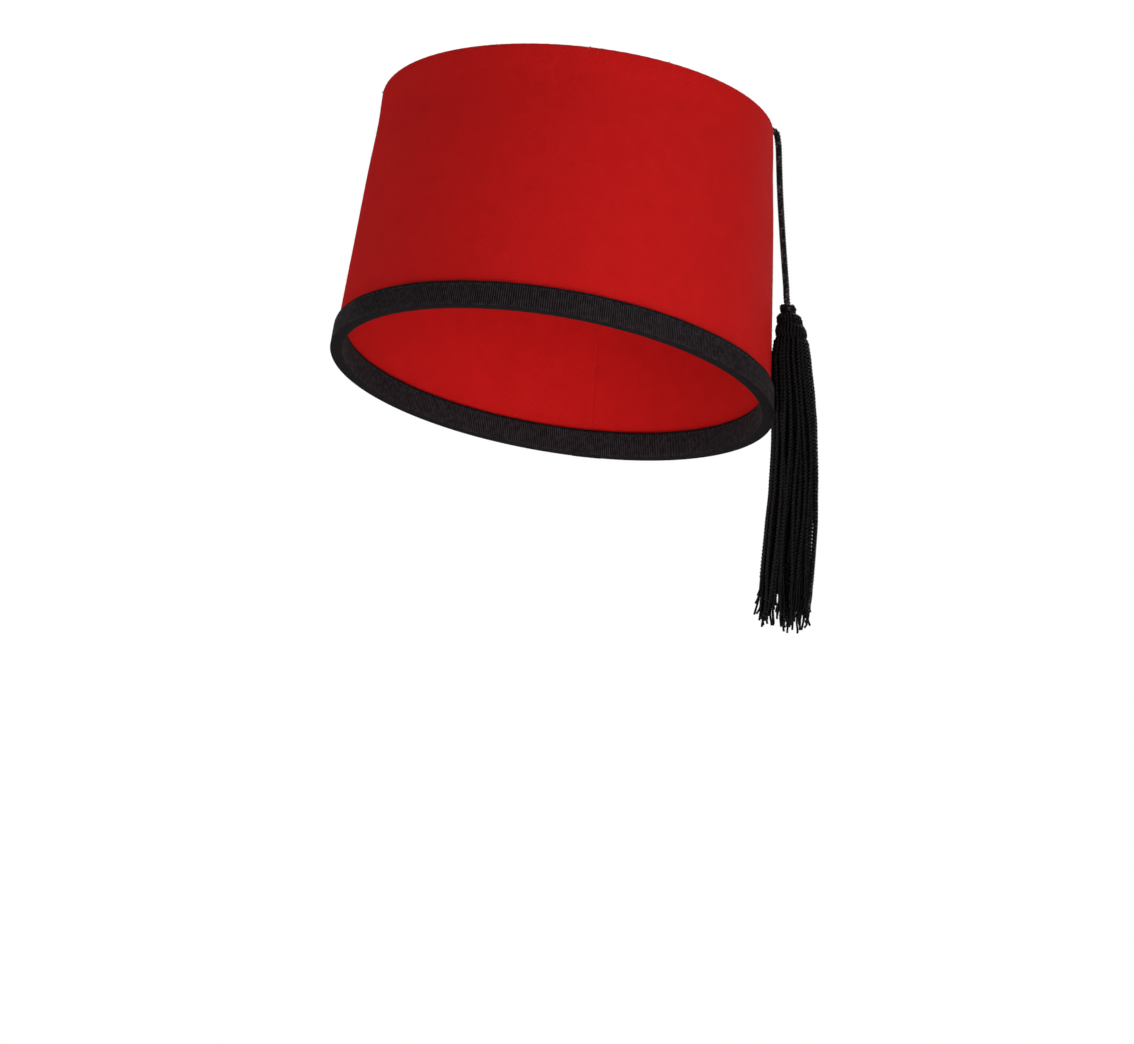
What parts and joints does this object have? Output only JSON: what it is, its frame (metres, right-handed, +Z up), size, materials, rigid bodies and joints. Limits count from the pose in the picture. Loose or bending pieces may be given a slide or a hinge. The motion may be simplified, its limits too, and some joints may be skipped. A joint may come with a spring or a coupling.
{
  "type": "fez hat",
  "caption": "Red felt fez with a flat top, a black ribbed ribbon bound over its rim, and a black cord tassel hanging at the side from a knot in the middle of the top",
  "frame": {"origin": "the middle of the oval head opening, level with the lower edge of the ribbon at the middle of the front", "axes": "+Z is up along the crown, +X is towards the wearer's left, the side that the tassel hangs on, and -Y is the front"},
  "size_m": [0.1805, 0.197, 0.1889],
  "materials": {
    "felt": "red pressed felt, matt, with a soft nap",
    "ribbon": "black grosgrain ribbon with fine upright ribs and a dull sheen",
    "cord": "black twisted rayon cord and thread with a slight gloss",
    "strands": "black twisted rayon strands with a slight gloss"
  },
  "bodies": {
    "root": {"crown_wall": "felt", "crown_top": "felt", "rim_binding": "ribbon", "top_knot": "cord", "tassel_cord": "cord", "tassel_knot": "cord", "tassel": "strands", "tassel_binding": "cord"}
  },
  "joints": []
}
